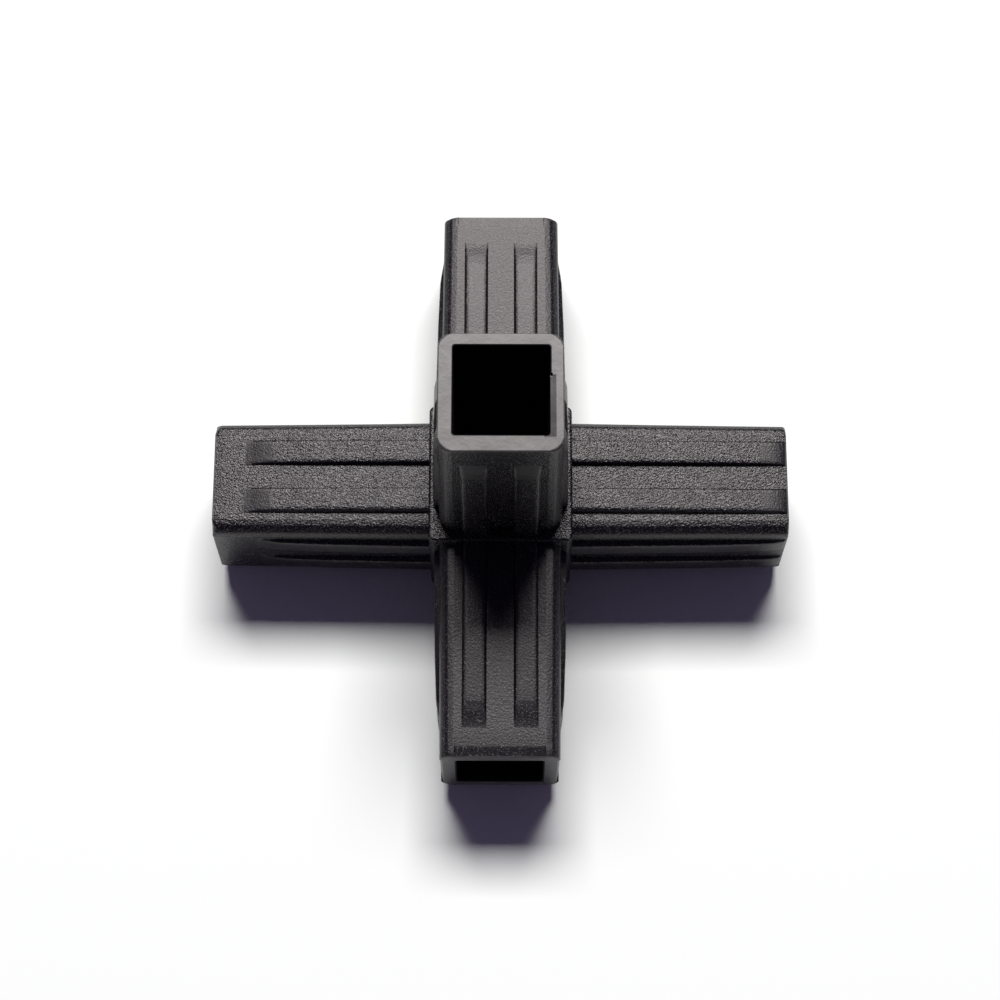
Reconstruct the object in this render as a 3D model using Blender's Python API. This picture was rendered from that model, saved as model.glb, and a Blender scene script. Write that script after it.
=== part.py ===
"""Five-way connector for 20 mm square tube, moulded in one piece.

A cube-shaped hub carries five hollow arms, four in a cross and one upright. A tube slides over each arm,
grips the arm's ribs and butts on the ledge that the hub leaves round the arm. Units are metres, +Z is up,
and the origin is the middle of the hub's underside.
"""

import math

import bmesh
import bpy
import numpy as np
from mathutils import Vector

# Arms, each measured from the hub's face to the tip
ARM_LENGTH = 0.02985
ACROSS_RIBS = 0.0185  # over the ribs of two opposite sides, where the arm meets the hub
ARM_CORNER_RADIUS = 0.0019  # of the arc that the narrow flats of a corner follow
ARM_DRAFT = math.radians(0.5)  # lean of each outer side, so the arm narrows to its tip
TIP_RADIUS = 0.0002  # rounding round the tip's outer edge
LEAD_LENGTH = 0.0016  # at the tip each side slopes in between its corners, to start the tube
LEAD_DEPTH = 0.0002
LEAD_WALL = 0.00005  # width of the small wall at each end of that slope

# Ribs, two on each side of an arm, which rise from the tip towards the hub
RIB_OFFSET = 0.0035  # from the middle of the side to the middle of the rib
RIB_WIDTH = 0.0032  # at the rib's foot
RIB_FLANK = 0.00035  # lean of each flank of the rib
RIB_RAMP = 0.0037  # length of the lead-in ramp
RIB_RISE = 0.0062  # length of the slower rise behind the ramp
RIB_RAMP_HEIGHT = 0.00052
RIB_RISE_HEIGHT = 0.00070
RIB_ROOT_HEIGHT = 0.00086

# Cores, the hollows of the arms, with walls measured at the mouth
CROSS_WALL = 0.0022  # all round the four arms of the cross
TOP_SIDE_WALL = 0.0018  # of the upright arm, towards +X and -X
TOP_FRONT_WALL = 0.0023
TOP_BACK_WALL = 0.0017
CORE_FLOOR = 0.0075  # from the hub's centre to the end of each core
CORE_DRAFT = math.radians(0.5)
CORE_CORNER_RADIUS = 0.0004
LIP_CHAMFER = 0.00015  # round the mouth's inner edge

# Hub
LEDGE = 0.00065  # hub's face outside the ribs, on which the tube's end sits
HUB_CORNER_RADIUS = 0.0008
HUB_RIM_RADIUS = 0.0004

# How finely the edges are divided. A corner of an arm is three narrow flats, and the rest is round.
ARM_CORNER_STEPS = 3
TIP_STEPS = 4
CORE_CORNER_STEPS = 2
HUB_CORNER_STEPS = 4
HUB_RIM_STEPS = 4
SMOOTH_BELOW = math.radians(25)

# Bends nearer each other than the last of these digits of a metre make one station
STATION_DIGITS = 6

# How far one solid runs into the next, so that they fuse or cut cleanly
ROOT_SINK = 0.0005
CUT_OVERRUN = 0.0010

# The walls of a core towards its own X sides, its -Y side and its +Y side
CROSS_WALLS = (CROSS_WALL, CROSS_WALL, CROSS_WALL)
TOP_WALLS = (TOP_SIDE_WALL, TOP_FRONT_WALL, TOP_BACK_WALL)

# Each arm's name, the way it points, how far behind its tip the ribs start, and its walls. The first start is
# for the top and bottom of a side arm or the X faces of the others, the second for the remaining two faces.
ARMS = (
    ("left", (-1, 0, 0), 0.0043, 0.0057, CROSS_WALLS),
    ("right", (1, 0, 0), TIP_RADIUS, TIP_RADIUS, CROSS_WALLS),
    ("front", (0, -1, 0), 0.0052, 0.0040, CROSS_WALLS),
    ("back", (0, 1, 0), 0.0052, 0.0040, CROSS_WALLS),
    ("top", (0, 0, 1), 0.0065, 0.0050, TOP_WALLS),
)

HUB_SIDE = ACROSS_RIBS + 2 * LEDGE
HUB_HALF = HUB_SIDE / 2
HUB_CENTRE = Vector((0, 0, HUB_HALF))
ROOT_HALF = ACROSS_RIBS / 2 - RIB_ROOT_HEIGHT
TIP_HALF = ROOT_HALF - ARM_LENGTH * math.tan(ARM_DRAFT)
TIP_REACH = HUB_HALF + ARM_LENGTH  # from the hub's centre to an arm's tip


def round_corner(half_x, half_y, radius, steps):
    """Points of the round corner of a rectangle that turns from its -Y side to its +X side."""
    points = []
    for step in range(steps + 1):
        angle = math.pi / 2 * (step / steps - 1)
        x = half_x - radius + radius * math.cos(angle)
        y = radius - half_y + radius * math.sin(angle)
        points.append((x, y))
    return points


def four_sides(y_side, x_side):
    """The whole outline, anticlockwise, from the points of the side towards -Y and of the one towards +X,
    both given as the side towards -Y with the corner that follows it.
    """
    outline = list(y_side)
    outline += [(-y, x) for x, y in x_side]
    return outline + [(-x, -y) for x, y in outline]


def ribbed_side(half, corner_radius, sunk, rib_height):
    """The side of an arm towards -Y: sunk this deep between its corners, with two ribs, then a corner."""
    level = sunk - half
    end = half - corner_radius - LEAD_WALL
    foot = RIB_WIDTH / 2
    crest = foot - RIB_FLANK
    points = [(-end, level)]
    for middle in (-RIB_OFFSET, RIB_OFFSET):
        points += [
            (middle - foot, level),
            (middle - crest, level - rib_height),
            (middle + crest, level - rib_height),
            (middle + foot, level),
        ]
    points.append((end, level))
    return points + round_corner(half, half, corner_radius, ARM_CORNER_STEPS)


def arm_section(half, corner_radius, sunk, x_rib_height, y_rib_height):
    """Outline across an arm, with ribs of one height on its X sides and of another on its Y sides."""
    y_side = ribbed_side(half, corner_radius, sunk, y_rib_height)
    x_side = ribbed_side(half, corner_radius, sunk, x_rib_height)
    return four_sides(y_side, x_side)


def core_section(walls, inset):
    """Outline across a core, a rectangle with small round corners, this far inside the one at its mouth."""
    side_wall, front_wall, back_wall = walls
    half_x = TIP_HALF - side_wall - inset
    half_y = TIP_HALF - (front_wall + back_wall) / 2 - inset
    shift = (front_wall - back_wall) / 2
    outline = four_sides(
        round_corner(half_x, half_y, CORE_CORNER_RADIUS, CORE_CORNER_STEPS),
        round_corner(half_y, half_x, CORE_CORNER_RADIUS, CORE_CORNER_STEPS),
    )
    return [(x, y + shift) for x, y in outline]


def loft(name, stations):
    """A helper solid skinned through outlines of equal length, each at its height along +Z."""
    bm = bmesh.new()
    rings = [[bm.verts.new((x, y, height)) for x, y in outline] for height, outline in stations]
    for lower, upper in zip(rings, rings[1:]):
        for i in range(len(lower)):
            bm.faces.new((lower[i - 1], lower[i], upper[i], upper[i - 1]))
    bm.faces.new(reversed(rings[0]))
    bm.faces.new(rings[-1])
    return new_object(name, bm)


def rib_bends(rib_start):
    """Where a rib's slope changes, as distances behind the tip, and its height at each."""
    ramp_end = rib_start + RIB_RAMP
    bends = (rib_start, ramp_end, ramp_end + RIB_RISE, ARM_LENGTH)
    return bends, (0, RIB_RAMP_HEIGHT, RIB_RISE_HEIGHT, RIB_ROOT_HEIGHT)


def arm_form(name, x_rib_start, y_rib_start):
    """The outer form of an arm along +Z from the hub's centre, without its core."""

    def section_at(behind_tip, inset=0):
        half = TIP_HALF + behind_tip * math.tan(ARM_DRAFT) - inset
        sunk = np.interp(behind_tip, (0, LEAD_LENGTH), (LEAD_DEPTH, 0))
        x_rib_height = np.interp(behind_tip, *rib_bends(x_rib_start))
        y_rib_height = np.interp(behind_tip, *rib_bends(y_rib_start))
        outline = arm_section(half, ARM_CORNER_RADIUS - inset, sunk, x_rib_height, y_rib_height)
        return TIP_REACH - behind_tip, outline

    bends = [*rib_bends(x_rib_start)[0], *rib_bends(y_rib_start)[0]]
    bends += [TIP_RADIUS, LEAD_LENGTH, ARM_LENGTH + ROOT_SINK]
    distinct = {round(bend, STATION_DIGITS): bend for bend in bends}
    stations = [section_at(behind_tip) for behind_tip in sorted(distinct.values(), reverse=True)]
    for step in range(1, TIP_STEPS + 1):
        angle = math.pi / 2 * step / TIP_STEPS
        behind_tip = TIP_RADIUS * (1 - math.sin(angle))
        stations.append(section_at(behind_tip, inset=TIP_RADIUS * (1 - math.cos(angle))))
    return loft(name, stations)


def core_form(name, walls):
    """The hollow of an arm along +Z: blind, narrowing inwards, with a chamfered mouth."""
    narrowing = (TIP_REACH - CORE_FLOOR) * math.tan(CORE_DRAFT)
    return loft(
        name,
        [
            (CORE_FLOOR, core_section(walls, narrowing)),
            (TIP_REACH - LIP_CHAMFER, core_section(walls, 0)),
            (TIP_REACH, core_section(walls, -LIP_CHAMFER)),
            (TIP_REACH + CUT_OVERRUN, core_section(walls, -LIP_CHAMFER)),
        ],
    )


def round_edges(bm, edges, radius, steps):
    bmesh.ops.bevel(bm, geom=edges, offset=radius, segments=steps, profile=0.5, affect="EDGES", material=-1)


def hub_form(name):
    """The cube that the arms grow from, its upright edges rounder than its rims."""
    bm = bmesh.new()
    bmesh.ops.create_cube(bm, size=HUB_SIDE)
    bmesh.ops.translate(bm, verts=bm.verts, vec=HUB_CENTRE)
    upright = [edge for edge in bm.edges if abs(edge.verts[0].co.z - edge.verts[1].co.z) > HUB_HALF]
    round_edges(bm, upright, HUB_CORNER_RADIUS, HUB_CORNER_STEPS)
    caps = [face for face in bm.faces if len(face.verts) > 4]
    rims = [edge for face in caps for edge in face.edges]
    round_edges(bm, rims, HUB_RIM_RADIUS, HUB_RIM_STEPS)
    return new_object(name, bm)


def new_object(name, bm):
    bmesh.ops.recalc_face_normals(bm, faces=bm.faces)
    mesh = bpy.data.meshes.new(name)
    bm.to_mesh(mesh)
    bm.free()
    mesh.shade_smooth()
    mesh.set_sharp_from_angle(angle=SMOOTH_BELOW)
    item = bpy.data.objects.new(name, mesh)
    bpy.context.scene.collection.objects.link(item)
    return item


def combine(body, helper, operation, direction):
    """Turn the helper to point this way from the hub's centre, and join it to the body or cut the body."""
    helper.rotation_mode = "QUATERNION"
    helper.rotation_quaternion = Vector((0, 0, 1)).rotation_difference(Vector(direction))
    helper.location = HUB_CENTRE
    helper.hide_render = True
    helper.display_type = "WIRE"
    boolean = body.modifiers.new(helper.name, "BOOLEAN")
    boolean.object = helper
    boolean.operation = operation
    boolean.solver = "EXACT"


def black_plastic():
    material = bpy.data.materials.new("black_plastic")
    material.use_nodes = True
    shader = material.node_tree.nodes["Principled BSDF"]
    shader.inputs["Base Color"].default_value = (0.02, 0.02, 0.021, 1)
    shader.inputs["Roughness"].default_value = 0.55
    shader.inputs["Metallic"].default_value = 0
    return material


def clear_scene():
    for item in list(bpy.data.objects):
        bpy.data.objects.remove(item)


def build():
    clear_scene()
    body = hub_form("connector_body")
    body.data.materials.append(black_plastic())
    for arm, direction, x_rib_start, y_rib_start, _ in ARMS:
        combine(body, arm_form(f"{arm}_arm", x_rib_start, y_rib_start), "UNION", direction)
    for arm, direction, _, _, walls in ARMS:
        combine(body, core_form(f"{arm}_core", walls), "DIFFERENCE", direction)


build()
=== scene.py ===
# %% [markdown]
# # A five-way connector for 20 mm square tube
#
# The real object is one shot of black plastic: a cube in the middle, four hollow arms in a flat cross and a
# fifth standing on top. A tube is pushed over each arm, the low ribs along the arm grip it from inside, and
# its end stops on the narrow ledge where the cube stands proud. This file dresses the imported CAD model: it
# makes the same form again with softer edges, gives it its plastic, and sets up the floor, light and camera.

import math
from collections import namedtuple

import bmesh
import bpy
import numpy as np
from mathutils import Matrix, Vector


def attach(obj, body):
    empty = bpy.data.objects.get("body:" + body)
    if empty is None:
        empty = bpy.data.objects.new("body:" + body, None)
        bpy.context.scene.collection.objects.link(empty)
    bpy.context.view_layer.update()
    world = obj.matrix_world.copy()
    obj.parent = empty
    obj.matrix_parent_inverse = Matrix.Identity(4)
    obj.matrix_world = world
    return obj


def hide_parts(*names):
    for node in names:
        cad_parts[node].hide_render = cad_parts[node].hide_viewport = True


MM = 1000


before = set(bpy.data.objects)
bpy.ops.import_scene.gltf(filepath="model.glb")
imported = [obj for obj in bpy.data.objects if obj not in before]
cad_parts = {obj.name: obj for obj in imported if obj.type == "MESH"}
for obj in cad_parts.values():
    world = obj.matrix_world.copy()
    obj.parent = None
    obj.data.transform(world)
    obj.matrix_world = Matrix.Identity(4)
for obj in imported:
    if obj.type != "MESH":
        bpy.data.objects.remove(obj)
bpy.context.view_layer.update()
print("CAD nodes:", sorted(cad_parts))

# %% [markdown]
# ## Sizes
#
# Everything is in metres. The sizes are those of the CAD model, so that the dressed connector fills the same
# space, and only the roundings are drawn with more steps. The arms taper by half a degree, which a mould
# needs to let go of them. HAIR, a thousandth of a millimetre, is what a place may be off in the tests below.

# %% Sizes of the cube and the arms
CUBE_SIDE = 0.0198
CUBE_HALF = CUBE_SIDE / 2
CUBE_CENTRE = Vector((0, 0, CUBE_HALF))
ARM_LENGTH = 0.02985
TIP_REACH = CUBE_HALF + ARM_LENGTH
DRAFT = math.tan(math.radians(0.5))
ROOT_HALF = 0.00839
TIP_HALF = ROOT_HALF - ARM_LENGTH * DRAFT
HAIR = 1e-6
print(f"an arm is {2 * MM * ROOT_HALF:.2f} mm across at its root and {2 * MM * TIP_HALF:.2f} mm at its tip")

# %% [markdown]
# ## The bar of an arm
#
# Without its ribs and its hollow, an arm is a tapering square bar. Each of its long corners is cut off in
# three narrow flats, which catch the light one by one. It could be lofted through drawn outlines, but a cube
# that is scaled to a taper and then bevelled gives the same bar: three segments make the flats, their inner
# creases are moved out a little, because the outer flats slope only gently, and a second, much finer bevel
# takes the sharpness off those creases.

# %% A tapering box
ROOT_SINK = 0.0010
RAMP_FADE = "ramp_fade"


def new_form():
    """An empty bmesh with room to note how far the smooth finish of a ramp has faded at each point."""
    bm = bmesh.new()
    bm.verts.layers.float.new(RAMP_FADE)
    return bm


def tapering_box():
    """A square box along +Z, from just inside the cube to the arm's tip."""
    bm = new_form()
    root = CUBE_HALF - ROOT_SINK
    corners = bmesh.ops.create_cube(bm, size=1)["verts"]
    bmesh.ops.translate(bm, verts=corners, vec=(0, 0, 0.5))
    bmesh.ops.scale(bm, verts=corners, vec=(2 * TIP_HALF, 2 * TIP_HALF, TIP_REACH - root))
    bmesh.ops.translate(bm, verts=corners, vec=(0, 0, root))
    widening = 1 + (TIP_REACH - root) * DRAFT / TIP_HALF
    foot = [vert for vert in corners if vert.co.z < CUBE_HALF]
    bmesh.ops.scale(bm, verts=foot, vec=(widening, widening, 1))
    return bm


# %% Cut its corners to three flats
ARM_CORNER_RADIUS = 0.0019
ARM_CORNER_STEPS = 3
FIRST_FLAT_LIFT = 0.000104
CREASE_RADIUS = 0.00030
CREASE_STEPS = 4
# The inner creases lie closer to both sides than this share of the corner's radius.
INNER_CREASE_SHARE = 0.75


def round_edges(bm, edges, radius, steps):
    bmesh.ops.bevel(bm, geom=edges, offset=radius, segments=steps, profile=0.5, affect="EDGES", material=-1)


def push_along(bm, vert, axis, by):
    """Move one point along X, which is axis 0, or Y, which is axis 1."""
    push = Vector((0, 0, 0))
    push[axis] = by
    bmesh.ops.translate(bm, verts=[vert], vec=push)


def height_spanned(edge):
    return abs(edge.verts[0].co.z - edge.verts[1].co.z)


def long_edges(bm):
    return [edge for edge in bm.edges if height_spanned(edge) > ARM_LENGTH / 2]


def arm_bar():
    """The whole bar of an arm, without its ribs and its hollow."""
    bm = tapering_box()
    round_edges(bm, long_edges(bm), ARM_CORNER_RADIUS, ARM_CORNER_STEPS)
    inner_start = ROOT_HALF - INNER_CREASE_SHARE * ARM_CORNER_RADIUS
    creases = [edge for edge in long_edges(bm) if min(map(abs, edge.verts[0].co.xy)) > inner_start]
    for vert in {vert for edge in creases for vert in edge.verts}:
        outer = 0 if abs(vert.co.x) > abs(vert.co.y) else 1
        push_along(bm, vert, outer, math.copysign(FIRST_FLAT_LIFT, vert.co[outer]))
    round_edges(bm, creases, CREASE_RADIUS, CREASE_STEPS)
    return bm


trial = arm_bar()
print("the bar has", len(trial.faces), "faces before its ribs")

# %% [markdown]
# ## The tip
#
# The edge round an arm's tip is rounded, more at the long corners than along the sides, and most of all on
# the left arm, as the photograph's outline shows. A bevel has the same width all the way round. So the loop
# round the tip is bevelled while it is still a plain flat loop, and its points are then pulled in and back,
# the more so the nearer they are to the middle of a long corner.

# %% Round the tip
TIP_RADIUS = 0.0002
TIP_STEPS = 4
TRIAL_GROWTH = 0.0003


def round_tip(bm, corner_growth):
    tip_loop = [edge for edge in bm.edges if min(vert.co.z for vert in edge.verts) > TIP_REACH - HAIR]
    round_edges(bm, tip_loop, TIP_RADIUS, TIP_STEPS)
    arc_centre = TIP_HALF - ARM_CORNER_RADIUS
    for vert in [vert for vert in bm.verts if vert.co.z > TIP_REACH - TIP_RADIUS - HAIR]:
        x, y = abs(vert.co.x) - arc_centre, abs(vert.co.y) - arc_centre
        if min(x, y) > HAIR:
            angle = math.atan2(y, x)
            growth = corner_growth * math.sin(2 * angle)
            sine = min(1, 1 - (TIP_REACH - vert.co.z) / TIP_RADIUS)
            inwards = growth * (1 - math.sqrt(1 - sine**2))
            pull_x = -math.copysign(inwards * math.cos(angle), vert.co.x)
            pull_y = -math.copysign(inwards * math.sin(angle), vert.co.y)
            bmesh.ops.translate(bm, verts=[vert], vec=(pull_x, pull_y, growth * (sine - 1)))
    bm.normal_update()
    return len(tip_loop)


print("the loop round the tip has", round_tip(trial, TRIAL_GROWTH), "edges")

# %% [markdown]
# ## Panels
#
# The wide flat part of each side is pressed by its own slide of the mould. The slide leaves a hair-fine line
# along both its edges, and at the tip its panel slopes in, which starts the tube on its way. That slope is
# plain to see on the front arm and hardly there on the others, so each arm brings its own depth. A pattern
# in the material could draw both, but they would be missing from the mesh. So the bar is cut along those
# lines with bisect_plane, and the points there are pushed in: by a hundredth of a millimetre on a line, and
# by up to a quarter of a millimetre at the end of the slope.

# %% Sink the panels
PANEL_HALF = 0.00606
LINE_HALF = 0.00011
LINE_DEPTH = 0.000009
LEAD_LENGTH = 0.0016
LEAD_BEND = 0.00040
TRIAL_LEAD_DEPTH = 0.0002
# A face lies across the bar where its normal has more than this share of Z.
ACROSS_SHARE = 0.999


def cut_through(bm, point, normal):
    everything = bm.verts[:] + bm.edges[:] + bm.faces[:]
    bmesh.ops.bisect_plane(bm, geom=everything, dist=HAIR, plane_co=point, plane_no=normal)


def sink_panels(bm, lead_depth):
    for side in (-PANEL_HALF, PANEL_HALF):
        for place in (side - LINE_HALF, side, side + LINE_HALF):
            cut_through(bm, (place, 0, 0), (1, 0, 0))
            cut_through(bm, (0, place, 0), (0, 1, 0))
    cut_through(bm, (0, 0, TIP_REACH - LEAD_LENGTH), (0, 0, 1))
    cut_through(bm, (0, 0, TIP_REACH - LEAD_LENGTH + LEAD_BEND), (0, 0, 1))
    bmesh.ops.dissolve_faces(bm, faces=[face for face in bm.faces if abs(face.normal.z) > ACROSS_SHARE])
    lead = (TIP_REACH - LEAD_LENGTH, TIP_REACH - TIP_RADIUS)
    for axis in (0, 1):
        for vert in [vert for vert in bm.verts if abs(vert.co[axis]) > TIP_HALF - TIP_RADIUS - HAIR]:
            across = abs(vert.co[1 - axis])
            depth = LINE_DEPTH if abs(across - PANEL_HALF) < HAIR else 0
            if across < PANEL_HALF + HAIR:
                depth += np.interp(vert.co.z, lead, (0, lead_depth))
            push_along(bm, vert, axis, math.copysign(depth, -vert.co[axis]))
    bm.normal_update()


sink_panels(trial, TRIAL_LEAD_DEPTH)
print("the bar has", len(trial.faces), "faces with its panels")

# %% [markdown]
# ## Ribs
#
# Each side of an arm carries two low ribs. They start behind the tip with a ramp, so that the tube slides
# on, and go on rising towards the cube, so that it ends tight. They could be bars laid on the sides, but on
# the real arm they are part of the same skin. So the bar's faces are first cut along the ribs' edges, and
# the strips between the cuts are then inset and raised. Each inset goes a little further in and up than the
# last, which gives the rib steep flanks and a soft shoulder. The photograph shows that the ribs start nearer
# the tip on some arms than on others, and that they are a little narrower on the front, back and upright
# arms, so each arm brings its own values.

# %% Cut the bar along the ribs
RIB_OFFSET = 0.0035
RIB_RAMP = 0.0037
# Where a rib's slope changes, behind its start, and how high it is there and at its foot.
RIB_PLACES = (0, 0.00095, 0.00235, RIB_RAMP, 0.0099)
RIB_HEIGHTS = (0, 0.00012, 0.00036, 0.00052, 0.00070, 0.00086)
BEND_DIGITS = 6
TRIAL_WIDTH = 0.0037
TRIAL_START = 0.0050


def rib_bends(start):
    """Distances behind the tip at which a rib's slope changes."""
    return [start + place for place in RIB_PLACES] + [ARM_LENGTH]


def polish_end(start):
    """How far behind the tip the polished part of a rib ends."""
    return max(start, 0) + RIB_RAMP


def cut_rib_lines(bm, width, starts):
    for middle in (-RIB_OFFSET, RIB_OFFSET):
        for edge in (middle - width / 2, middle + width / 2):
            cut_through(bm, (edge, 0, 0), (1, 0, 0))
            cut_through(bm, (0, edge, 0), (0, 1, 0))
    bends = {round(bend, BEND_DIGITS) for start in starts for bend in [*rib_bends(start), polish_end(start)]}
    for bend in sorted(bends):
        cut_through(bm, (0, 0, TIP_REACH - bend), (0, 0, 1))


cut_rib_lines(trial, TRIAL_WIDTH, (TRIAL_START, TRIAL_START))
print("the bar has", len(trial.faces), "faces once it is cut for its ribs")

# %% Find the faces of the ribs
# A face belongs to the side that an axis points at where its normal has more than this share of the axis.
SIDE_SHARE = 0.9


def rib_strips(bm, axis, width, start):
    """The faces of the four ribs that point along this axis, 0 for X and 1 for Y."""
    strips = []
    highest = TIP_REACH - max(start, TIP_RADIUS)
    for face in bm.faces:
        centre = face.calc_center_median()
        across = abs(abs(centre[1 - axis]) - RIB_OFFSET)
        if abs(face.normal[axis]) > SIDE_SHARE and across < width / 2 and centre.z < highest:
            strips.append(face)
    return strips


# %% Note how far the polish of a ramp has faded
# The material slots, in the order in which they are filled below.
GRAINED = 0
RAMP = 1
INSIDE = 2
RIM = 3
SOFT_GRAINED = 4


def note_fade(bm, axis, start):
    """Note on the ramps along this axis how far their polish has faded: 1 at the start and 0 at its end."""
    fade = bm.verts.layers.float[RAMP_FADE]
    for face in bm.faces:
        centre = face.calc_center_median()
        if face.material_index == RAMP and abs(centre[axis]) > abs(centre[1 - axis]):
            for vert in face.verts:
                vert[fade] = np.interp(TIP_REACH - vert.co.z, (max(start, 0), polish_end(start)), (1, 0))


# %% Raise the ribs
# Each row is one inset: its width, and the share of the rib's height that it reaches.
SHOULDER = (
    (0.00013, 0.50),
    (0.00012, 0.83),
    (0.00010, 0.92),
    (0.00015, 0.965),
    (0.00015, 0.99),
    (0.00015, 1.0),
)


def raise_ribs(bm, axis, width, start):
    strips = rib_strips(bm, axis, width, start)
    for face in strips:
        if face.calc_center_median().z > TIP_REACH - polish_end(start):
            face.material_index = RAMP
    share_before = 0
    for step, share in SHOULDER:
        bmesh.ops.inset_region(bm, faces=strips, thickness=step, use_even_offset=True)
        for vert in {vert for face in strips for vert in face.verts}:
            height = np.interp(TIP_REACH - vert.co.z, rib_bends(start), RIB_HEIGHTS)
            push_along(bm, vert, axis, math.copysign(height * (share - share_before), vert.co[axis]))
        share_before = share
    note_fade(bm, axis, start)
    return len(strips)


print("the ribs on two sides stand on", raise_ribs(trial, 0, TRIAL_WIDTH, TRIAL_START), "faces")
trial.free()

# %% Mark the faces with another finish


def mark_rim(bm):
    for face in bm.faces:
        if face.calc_center_median().z > TIP_REACH - TIP_RADIUS:
            face.material_index = RIM


def soften_grain(bm):
    for face in bm.faces:
        if face.material_index in (GRAINED, RAMP):
            face.material_index = SOFT_GRAINED


# %% [markdown]
# ## The hollows
#
# The arms are hollow, which saves plastic and lets a mould's core cool them from inside. The face at the tip
# could be inset and pushed in, but then the walls would be the same all round, and the upright arm's differ
# a little from side to side, as if the core had shifted in the mould. So each hollow is cut with a cutter
# made here: a tapering square bar with a small flare at its outer end, which leaves a softened lip.

# %% The straight part of a cutter
CORE_FLOOR = 0.0075
CORE_CORNER_RADIUS = 0.0004
CORE_CORNER_STEPS = 4


def grow(bm, verts, middle, half_x, half_y, by):
    """Push points outwards from the middle of a rectangle, so that its half widths grow by this much."""
    matrix = Matrix.Translation(-middle)
    bmesh.ops.scale(bm, verts=verts, vec=(1 + by / half_x, 1 + by / half_y, 1), space=matrix)


def core_bar(middle, half_x, half_y, neck):
    """A tapering bar along +Z, from the floor of a hollow to the neck, where its flare begins."""
    bm = new_form()
    corners = bmesh.ops.create_cube(bm, size=1)["verts"]
    bmesh.ops.scale(bm, verts=corners, vec=(2 * half_x, 2 * half_y, neck - CORE_FLOOR))
    bmesh.ops.translate(bm, verts=corners, vec=middle + Vector((0, 0, (neck + CORE_FLOOR) / 2)))
    floor = [vert for vert in corners if vert.co.z < neck - HAIR]
    grow(bm, floor, middle, half_x, half_y, by=(CORE_FLOOR - neck) * DRAFT)
    upright = [edge for edge in bm.edges if height_spanned(edge) > HAIR]
    round_edges(bm, upright, CORE_CORNER_RADIUS, CORE_CORNER_STEPS)
    for face in bm.faces:
        face.material_index = INSIDE
    return bm


# %% A whole cutter with its flare
# Walls at the mouth towards -X, +X, -Y and +Y.
CROSS_WALLS = (0.0022, 0.0022, 0.0022, 0.0022)
TOP_WALLS = (0.0020, 0.0018, 0.0023, 0.0017)
LIP_RADIUS = 0.00018
LIP_STEPS = 3
CUT_OVERRUN = 0.0010


def core_cutter(left_wall, right_wall, front_wall, back_wall):
    """A cutter along +Z for a hollow with these walls at its mouth."""
    half_x = TIP_HALF - (left_wall + right_wall) / 2
    half_y = TIP_HALF - (front_wall + back_wall) / 2
    middle = Vector((left_wall - right_wall, front_wall - back_wall, 0)) / 2
    neck = TIP_REACH - LIP_RADIUS
    bm = core_bar(middle, half_x, half_y, neck)
    flare_before = 0
    climbs = [math.pi / 2 * step / LIP_STEPS for step in range(1, LIP_STEPS + 1)]
    flares = [(neck + LIP_RADIUS * math.sin(climb), LIP_RADIUS * (1 - math.cos(climb))) for climb in climbs]
    for height, flare in [*flares, (TIP_REACH + CUT_OVERRUN, LIP_RADIUS)]:
        top = max(bm.faces, key=lambda face: face.calc_center_median().z)
        ring = bmesh.ops.extrude_face_region(bm, geom=[top])["geom"]
        if top.is_valid:
            bmesh.ops.delete(bm, geom=[top], context="FACES_ONLY")
        verts = [item for item in ring if isinstance(item, bmesh.types.BMVert)]
        bmesh.ops.translate(bm, verts=verts, vec=(0, 0, height - verts[0].co.z))
        grow(bm, verts, middle, half_x + flare_before, half_y + flare_before, by=flare - flare_before)
        flare_before = flare
    return bm


trial = core_cutter(*CROSS_WALLS)
print("a cutter has", len(trial.faces), "faces")
trial.free()

# %% [markdown]
# ## The cube
#
# The cube is what the tubes butt on. Its upright edges are a little rounder than its top and bottom rims.
# One bevel of all its edges would give them a single radius, so the upright edges are bevelled first, and
# then the loops round the top and the bottom.

# %% The cube with its soft edges
CUBE_CORNER_RADIUS = 0.0008
CUBE_RIM_RADIUS = 0.0004
CUBE_CORNER_STEPS = 8
CUBE_RIM_STEPS = 8

cube = new_form()
bmesh.ops.create_cube(cube, size=CUBE_SIDE)
bmesh.ops.translate(cube, verts=cube.verts, vec=CUBE_CENTRE)
upright = [edge for edge in cube.edges if height_spanned(edge) > CUBE_HALF]
round_edges(cube, upright, CUBE_CORNER_RADIUS, CUBE_CORNER_STEPS)
caps = [face for face in cube.faces if len(face.verts) > 4]
round_edges(cube, [edge for face in caps for edge in face.edges], CUBE_RIM_RADIUS, CUBE_RIM_STEPS)
print("the cube has", len(cube.faces), "faces")

# %% [markdown]
# ## Plastic
#
# It is one black plastic with five finishes. Pictures of plastic could be wrapped round it, but they would
# stretch and meet in seams. All of the patterns here are noise on Object coordinates, which has no seams and
# stays put in every view. The helpers below add the nodes that the finishes share.

# %% A plastic, and noise on it
BLACK = (0.0042, 0.0034, 0.0060, 1)
WARM_GLOSS = (1.0, 0.94, 0.93, 1)
# How much of a noise's finer detail comes through.
CRISP = 0.6
MILD = 0.5


def new_plastic(name, colour, roughness, gloss):
    material = bpy.data.materials.new(name)
    material.use_nodes = True
    shader = material.node_tree.nodes["Principled BSDF"]
    shader.inputs["Base Color"].default_value = colour
    shader.inputs["Specular Tint"].default_value = WARM_GLOSS
    shader.inputs["Roughness"].default_value = roughness
    shader.inputs["Specular IOR Level"].default_value = gloss
    return material, shader


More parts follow.
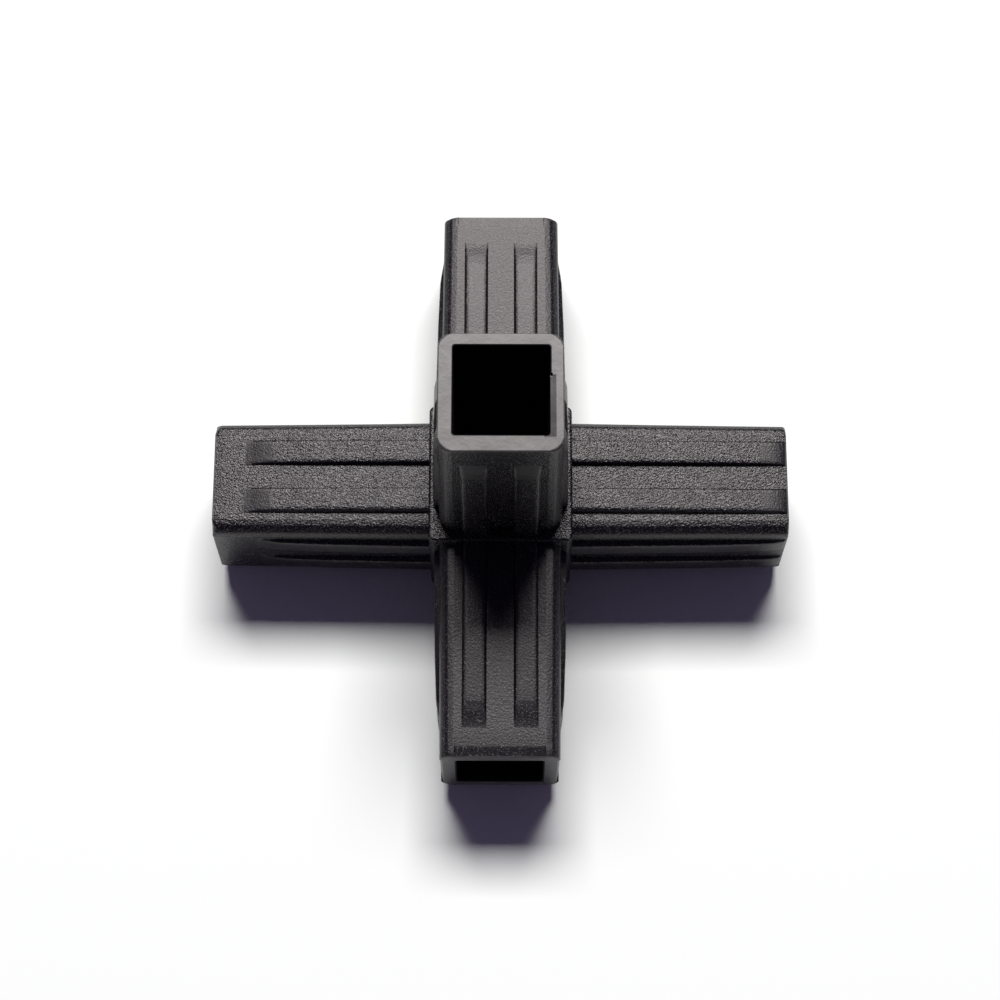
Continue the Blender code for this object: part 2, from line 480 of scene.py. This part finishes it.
def object_noise(tree, scale, detail, roughness):
    """Noise that sits still on the object, with blotches about 1 / scale metres wide."""
    place = tree.nodes.new("ShaderNodeTexCoord")
    noise = tree.nodes.new("ShaderNodeTexNoise")
    noise.inputs["Scale"].default_value = scale
    noise.inputs["Detail"].default_value = detail
    noise.inputs["Roughness"].default_value = roughness
    tree.links.new(place.outputs["Object"], noise.inputs["Vector"])
    return noise.outputs["Fac"]


# %% What a noise does to a plastic
# The range in which nearly all of a noise's values lie.
NOISE_LOW = 0.3
NOISE_HIGH = 0.7


def spread_out(tree, value, low, high, to_low, to_high):
    """Stretch the part of a value between low and high over a new range, and clamp the rest."""
    stretch = tree.nodes.new("ShaderNodeMapRange")
    stretch.inputs["From Min"].default_value = low
    stretch.inputs["From Max"].default_value = high
    stretch.inputs["To Min"].default_value = to_low
    stretch.inputs["To Max"].default_value = to_high
    tree.links.new(value, stretch.inputs["Value"])
    return stretch.outputs["Result"]


def combine_values(tree, operation, first, second):
    maths = tree.nodes.new("ShaderNodeMath")
    maths.operation = operation
    tree.links.new(first, maths.inputs[0])
    tree.links.new(second, maths.inputs[1])
    return maths.outputs["Value"]


def mix_colours(tree, shader, share, dark, light):
    mix = tree.nodes.new("ShaderNodeMix")
    mix.data_type = "RGBA"
    colours = [socket for socket in mix.inputs if socket.type == "RGBA"]
    colours[0].default_value = dark
    colours[1].default_value = light
    tree.links.new(share, mix.inputs["Factor"])
    result = [socket for socket in mix.outputs if socket.type == "RGBA"][0]
    tree.links.new(result, shader.inputs["Base Color"])


def add_bump(tree, shader, height, depth):
    bump = tree.nodes.new("ShaderNodeBump")
    bump.inputs["Strength"].default_value = 1
    bump.inputs["Distance"].default_value = depth
    tree.links.new(height, bump.inputs["Height"])
    tree.links.new(bump.outputs["Normal"], shader.inputs["Normal"])


# %% [markdown]
# ## The grain
#
# Most of the mould was spark eroded, which leaves a fine grain on the plastic. It breaks up the lamp's
# reflection into specks a quarter of a millimetre wide, and it is paler in tiny spots. The arms at the front
# and back have a softer grain. It could be real bumps in the mesh, but there would be hundreds of thousands
# of them. So one noise makes the grain as bump, and a finer one mixes pale specks into the colour. These are
# partly the plastic's own pale spots and partly painted glints that stand in for the grain's speckled
# reflection.

# %% The grain of the eroded faces
# Pale specks in the colour: partly real pale spots, partly painted glints of the grain.
SPECK_AND_GLINT = (0.090, 0.084, 0.084, 1)
SPECK_SCALE = 5200
SPECK_FROM = 0.60
SPECK_FULL = 0.80
SPECK_DETAIL = 0
GRAIN_DETAIL = 1.5
GRAINS = {
    "grained_black_plastic": {
        "scale": 4000,
        "depth": 0.00011,
        "roughness": 0.27,
        "gloss": 0.37,
        "speck_share": 0.9,
    },
    "soft_grained_black_plastic": {
        "scale": 3500,
        "depth": 0.000035,
        "roughness": 0.40,
        "gloss": 0.39,
        "speck_share": 1.0,
    },
}


def new_grained(name, scale, depth, roughness, gloss, speck_share):
    material, shader = new_plastic(name, BLACK, roughness, gloss)
    tree = material.node_tree
    grain = object_noise(tree, scale, GRAIN_DETAIL, CRISP)
    specks = object_noise(tree, SPECK_SCALE, SPECK_DETAIL, MILD)
    # The pale specks are mixed into the colour; they are partly painted glints.
    specks_and_glints = spread_out(tree, specks, SPECK_FROM, SPECK_FULL, 0, speck_share)
    mix_colours(tree, shader, specks_and_glints, BLACK, SPECK_AND_GLINT)
    add_bump(tree, shader, grain, depth)
    return material


grained, soft_grained = [new_grained(name, **values) for name, values in GRAINS.items()]
print("grains:", ", ".join(f"{name} {MM / values['scale']:.2f} mm" for name, values in GRAINS.items()))

# %% [markdown]
# ## The polished ramps
#
# On the left, right and upright arms the mould was polished by hand where it forms the ramps of the ribs, so
# their smooth patch ends in a ragged line. Two materials that meet would leave a straight line there. So the
# mesh carries a number that fades from 1 to 0 along each ramp, a coarse noise is added to it, and where the
# sum is high nearly all of the grain goes.

# %% The ramps, polished except for a ragged edge
RAMP_ROUGHNESS = 0.39
RAMP_GLOSS = 0.41
RAMP_SCALE = 4300
RAMP_DEPTH = 0.00006
RAGGED_SCALE = 1400
RAGGED_DETAIL = 3
RAGGED_REACH = 0.22
GRAIN_UNTIL = 0.22
POLISH_FROM = 0.42
POLISHED_GRAIN = 0.08
ramp_plastic, ramp_shader = new_plastic("polished_black_plastic", BLACK, RAMP_ROUGHNESS, RAMP_GLOSS)
tree = ramp_plastic.node_tree
fade = tree.nodes.new("ShaderNodeAttribute")
fade.attribute_name = RAMP_FADE
blotches = object_noise(tree, RAGGED_SCALE, RAGGED_DETAIL, CRISP)
ragged = spread_out(tree, blotches, NOISE_LOW, NOISE_HIGH, -RAGGED_REACH, RAGGED_REACH)
edge = combine_values(tree, "ADD", fade.outputs["Fac"], ragged)
grain_share = spread_out(tree, edge, GRAIN_UNTIL, POLISH_FROM, 1, POLISHED_GRAIN)
ramp_noise = object_noise(tree, RAMP_SCALE, GRAIN_DETAIL, CRISP)
ramp_grain = combine_values(tree, "MULTIPLY", ramp_noise, grain_share)
add_bump(tree, ramp_shader, ramp_grain, RAMP_DEPTH)
print(f"ramps: blotches of {MM / RAGGED_SCALE:.1f} mm along the edge of the polish")

# %% [markdown]
# ## The insides and the rims
#
# The hollows are formed by smooth cores and show only a faint, uneven shine, for which one broad noise as
# bump is enough. The rims of the mouths are dull and greyish, because they were trimmed and are rubbed by
# the tubes. Wear could be painted by hand on a picture. Here a broad noise mixes a dark and a rubbed grey,
# and the same noise makes the rim a little uneven in the same places.

# %% The dark insides
INSIDE_ROUGHNESS = 0.5
INSIDE_GLOSS = 0.35
RIPPLE_SCALE = 400
RIPPLE_DETAIL = 2
RIPPLE_DEPTH = 0.00004
inside, inside_shader = new_plastic("inner_black_plastic", BLACK, INSIDE_ROUGHNESS, INSIDE_GLOSS)
ripple = object_noise(inside.node_tree, RIPPLE_SCALE, RIPPLE_DETAIL, MILD)
add_bump(inside.node_tree, inside_shader, ripple, RIPPLE_DEPTH)
print(f"insides: ripples of {MM / RIPPLE_SCALE:.1f} mm")

# %% The dull rims
DULL_GREY = (0.027, 0.026, 0.028, 1)
RUBBED_GREY = (0.070, 0.068, 0.067, 1)
RIM_ROUGHNESS = 0.42
RIM_GLOSS = 0.58
RIM_DEPTH = 0.00008
RUB_SCALE = 260
RUB_DETAIL = 4
rim_plastic, rim_shader = new_plastic("dull_rim_plastic", DULL_GREY, RIM_ROUGHNESS, RIM_GLOSS)
tree = rim_plastic.node_tree
rubs = object_noise(tree, RUB_SCALE, RUB_DETAIL, CRISP)
rubbed_share = spread_out(tree, rubs, NOISE_LOW, NOISE_HIGH, 0, 1)
mix_colours(tree, rim_shader, rubbed_share, DULL_GREY, RUBBED_GREY)
add_bump(tree, rim_shader, rubs, RIM_DEPTH)
print(f"rims: rubbed patches of {MM / RUB_SCALE:.1f} mm")

FINISHES = (grained, ramp_plastic, inside, rim_plastic, soft_grained)

# %% [markdown]
# ## Put the moulding together
#
# The five arms are turned to point out of the cube's faces and fused with it, and the five cutters are taken
# away from the result. Arms that are only pushed into the cube would look the same from outside, but their
# roots would stay inside the plastic. Boolean modifiers with the exact solver leave one closed skin.
#
# Each row of the table is one arm. After its name and direction come how much the rounding of its tip grows
# at the corners, how wide its ribs are, how far behind the tip the ribs on two of its sides start and those
# on the other two, how far its panels slope in at the tip, and its walls at the mouth. The ribs of the right
# arm start beyond its tip, so they are cut off there while they still rise.

# %% The table of the arms
Arm = namedtuple("Arm", "name direction tip_growth rib_width x_start y_start lead_depth walls")
ARMS = (
    Arm("left", (-1, 0, 0), 0.0008, 0.0037, 0.0043, 0.0057, 0.00004, CROSS_WALLS),
    Arm("right", (1, 0, 0), 0.0003, 0.0037, -0.00115, -0.00115, 0.00004, CROSS_WALLS),
    Arm("front", (0, -1, 0), 0.0003, 0.00335, 0.0052, 0.0040, 0.00026, CROSS_WALLS),
    Arm("back", (0, 1, 0), 0.0003, 0.00335, 0.0052, 0.0040, 0.00004, CROSS_WALLS),
    Arm("top", (0, 0, 1), 0.0003, 0.0035, 0.0065, 0.0050, 0.00002, TOP_WALLS),
)
SOFT_GRAINED_ARMS = ("front", "back")
print("arms:", ", ".join(arm.name for arm in ARMS))

# %% Helpers that place and combine the forms


def new_object(name, bm):
    bmesh.ops.recalc_face_normals(bm, faces=bm.faces)
    mesh = bpy.data.meshes.new(name)
    bm.to_mesh(mesh)
    bm.free()
    for finish in FINISHES:
        mesh.materials.append(finish)
    item = bpy.data.objects.new(name, mesh)
    bpy.context.scene.collection.objects.link(item)
    return item


def point_along(bm, direction):
    """Turn a form that was made along +Z, and bring it to the cube."""
    turn = Vector((0, 0, 1)).rotation_difference(Vector(direction)).to_matrix().to_4x4()
    bmesh.ops.transform(bm, matrix=Matrix.Translation(CUBE_CENTRE) @ turn, verts=bm.verts)


def combine(body, tool, operation):
    boolean = body.modifiers.new(tool.name, "BOOLEAN")
    boolean.object = tool
    boolean.operation = operation
    boolean.solver = "EXACT"


# %% Fuse the arms and cut the hollows
connector = new_object("connector", cube)
tools = []
for arm in ARMS:
    form = arm_bar()
    round_tip(form, arm.tip_growth)
    sink_panels(form, arm.lead_depth)
    cut_rib_lines(form, arm.rib_width, (arm.x_start, arm.y_start))
    strips = raise_ribs(form, 0, arm.rib_width, arm.x_start)
    strips += raise_ribs(form, 1, arm.rib_width, arm.y_start)
    mark_rim(form)
    if arm.name in SOFT_GRAINED_ARMS:
        soften_grain(form)
    point_along(form, arm.direction)
    tools.append(new_object(f"{arm.name}_arm", form))
    combine(connector, tools[-1], "UNION")
    print(arm.name, "arm: ribs on", strips, "faces")
for arm in ARMS:
    form = core_cutter(*arm.walls)
    point_along(form, arm.direction)
    tools.append(new_object(f"{arm.name}_core", form))
    combine(connector, tools[-1], "DIFFERENCE")

# %% [markdown]
# ## A trimmed edge
#
# On the upright arm's mouth the inner edge towards +X was trimmed: a narrow slope leads down into the hollow
# along most of that side, and it ends in a small nick where the knife went in. The rim's own points could be
# moved, but it has none in the right places. So both are cut with simple boxes, one of them tilted.

# %% Trim the upright's mouth
TRIM_WIDTH = 0.00075
TRIM_DEPTH = 0.00022
TRIM_FROM = -0.0061
TRIM_TO = 0.0024
NICK_WIDTH = 0.0003
NICK_LENGTH = 0.0005
NICK_DEPTH = 0.0005
mouth_edge = TIP_HALF - TOP_WALLS[1]
mouth_level = CUBE_CENTRE.z + TIP_REACH
trim_middle = (TRIM_FROM + TRIM_TO) / 2


def box_cutter(length, width, height):
    """A box whose lower edge towards +X is centred on the origin."""
    bm = new_form()
    verts = bmesh.ops.create_cube(bm, size=1)["verts"]
    bmesh.ops.translate(bm, verts=verts, vec=(-0.5, 0, 0.5))
    bmesh.ops.scale(bm, verts=verts, vec=(width, length, height))
    for face in bm.faces:
        face.material_index = RIM
    return bm


knife_tilt = Matrix.Rotation(-math.atan2(TRIM_DEPTH, TRIM_WIDTH), 3, "Y")
slope = box_cutter(TRIM_TO - TRIM_FROM, 2 * TRIM_WIDTH, 2 * TRIM_WIDTH)
bmesh.ops.rotate(slope, verts=slope.verts, matrix=knife_tilt)
bmesh.ops.translate(slope, verts=slope.verts, vec=(mouth_edge + TRIM_WIDTH, trim_middle, mouth_level))
nick = box_cutter(NICK_LENGTH, 2 * NICK_WIDTH, 2 * NICK_DEPTH)
bmesh.ops.translate(nick, verts=nick.verts, vec=(mouth_edge + NICK_WIDTH, TRIM_TO, mouth_level - NICK_DEPTH))
for name, form in (("trim", slope), ("nick", nick)):
    tools.append(new_object(name, form))
    combine(connector, tools[-1], "DIFFERENCE")
print("the trimmed edge is", round(MM * (TRIM_TO - TRIM_FROM), 1), "mm long")

# %% [markdown]
# ## One clean mesh
#
# The modifiers' result is kept as the mesh and the tools are removed. Flat faces should shade flat although
# they share soft edges with the roundings. They could all be split off with sharp edges, but then the soft
# edges would show as lines. A Weighted Normal modifier lets the large faces decide instead, and only edges
# that bend by more than 12 degrees are marked sharp.

# %% Keep the result as one clean mesh
SHARP_ABOVE = math.radians(12)
LARGE_FACES_DECIDE = 100


def bake_modifiers(item):
    graph = bpy.context.evaluated_depsgraph_get()
    mesh = bpy.data.meshes.new_from_object(item.evaluated_get(graph))
    item.modifiers.clear()
    item.data = mesh


bake_modifiers(connector)
for tool in tools:
    bpy.data.objects.remove(tool)
connector.data.shade_smooth()
connector.data.set_sharp_from_angle(angle=SHARP_ABOVE)
weighting = connector.modifiers.new("flat_faces_stay_flat", "WEIGHTED_NORMAL")
weighting.keep_sharp = True
weighting.weight = LARGE_FACES_DECIDE

check = bmesh.new()
check.from_mesh(connector.data)
open_edges = [edge for edge in check.edges if len(edge.link_faces) != 2]
print("connector:", len(check.faces), "faces and", len(open_edges), "open edges")
print("plastic in it:", round(MM**3 * check.calc_volume()), "mm3")
check.free()

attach(connector, "root")
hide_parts("connector_body")

# %% [markdown]
# ## The floor
#
# The photograph is a cut-out on white. The world could be white and the floor left out, but a white floor
# keeps the connector's shadow and lights its lower faces. It is a grid of one face, far larger than the view.

# %% A white floor
FLOOR_SIDE = 6.0
FLOOR_WHITE = (0.96, 0.97, 0.94, 1)
FLOOR_ROUGHNESS = 0.9
floor_mesh = bpy.data.meshes.new("floor")
form = bmesh.new()
bmesh.ops.create_grid(form, x_segments=1, y_segments=1, size=FLOOR_SIDE / 2)
form.to_mesh(floor_mesh)
form.free()
floor = bpy.data.objects.new("floor", floor_mesh)
bpy.context.scene.collection.objects.link(floor)
white = bpy.data.materials.new("white_floor")
white.use_nodes = True
floor_shader = white.node_tree.nodes["Principled BSDF"]
floor_shader.inputs["Base Color"].default_value = FLOOR_WHITE
floor_shader.inputs["Roughness"].default_value = FLOOR_ROUGHNESS
floor_mesh.materials.append(white)
print("the floor has", len(floor_mesh.polygons), "face")

# %% [markdown]
# ## The light
#
# The photograph's light is one soft lamp behind and above the object: the upright arm's shadow falls
# forwards over the front arm, with an edge more than a centimetre wide. A sun or a small lamp would give it a
# hard edge, so this lamp is a rectangle about half as wide as it is far away. The world adds a weak violet
# glow from all round, which keeps the shadows from going black.

# %% Light
LAMP_ELEVATION = math.radians(58.5)
LAMP_AZIMUTH = math.radians(0.5)
LAMP_DISTANCE = 2.0
LAMP_WIDTH = 1.1
LAMP_HEIGHT = 0.62
LAMP_POWER = 51
lamp_data = bpy.data.lights.new("softbox", "AREA")
lamp_data.shape = "RECTANGLE"
lamp_data.size = LAMP_WIDTH
lamp_data.size_y = LAMP_HEIGHT
lamp_data.energy = LAMP_POWER
lamp = bpy.data.objects.new("softbox", lamp_data)
straight_back = Vector((0, math.cos(LAMP_ELEVATION), math.sin(LAMP_ELEVATION)))
towards_lamp = Matrix.Rotation(-LAMP_AZIMUTH, 3, "Z") @ straight_back
lamp.location = CUBE_CENTRE + LAMP_DISTANCE * towards_lamp
lamp.rotation_euler = towards_lamp.to_track_quat("Z", "Y").to_euler()
bpy.context.scene.collection.objects.link(lamp)
print("the lamp stands at", [round(value, 2) for value in lamp.location], "m")

# %% A weak glow from all round
GLOW_VIOLET = (0.66, 0.54, 1.0, 1)
GLOW_STRENGTH = 0.075
world = bpy.data.worlds.new("studio")
world.use_nodes = True
world.node_tree.nodes["Background"].inputs["Color"].default_value = GLOW_VIOLET
world.node_tree.nodes["Background"].inputs["Strength"].default_value = GLOW_STRENGTH
bpy.context.scene.world = world
bpy.context.scene.view_settings.view_transform = "Standard"

# %% [markdown]
# ## The camera
#
# It stands where the photograph was taken from, in front of the object and 70 degrees up. A Track To
# constraint could aim it, but its pitch, roll, distance and lens were fitted to measured corners of the
# object and the aim lies a little off the cube's centre, so its whole matrix is set.

# %% Camera
CAMERA_PITCH = math.radians(70.413)
CAMERA_ROLL = math.radians(0.131)
CAMERA_DISTANCE = 0.3724
CAMERA_LENS = 94.84
CAMERA_SENSOR = 36
CAMERA_CLIP = 0.01
CAMERA_ASIDE = -0.000069
CAMERA_ABOVE = -0.000436
camera_data = bpy.data.cameras.new("camera")
camera_data.lens = CAMERA_LENS
camera_data.sensor_width = CAMERA_SENSOR
camera_data.clip_start = CAMERA_CLIP
camera = bpy.data.objects.new("camera", camera_data)
camera_tilt = Matrix.Rotation(math.pi / 2 - CAMERA_PITCH, 4, "X")
camera_roll = Matrix.Rotation(CAMERA_ROLL, 4, "Z")
offset = camera_tilt @ Vector((CAMERA_ASIDE, CAMERA_ABOVE, CAMERA_DISTANCE))
camera.matrix_world = Matrix.Translation(CUBE_CENTRE + offset) @ camera_tilt @ camera_roll
bpy.context.scene.collection.objects.link(camera)
bpy.context.scene.camera = camera
print("the camera stands at", [round(MM * value) for value in camera.matrix_world.translation], "mm")
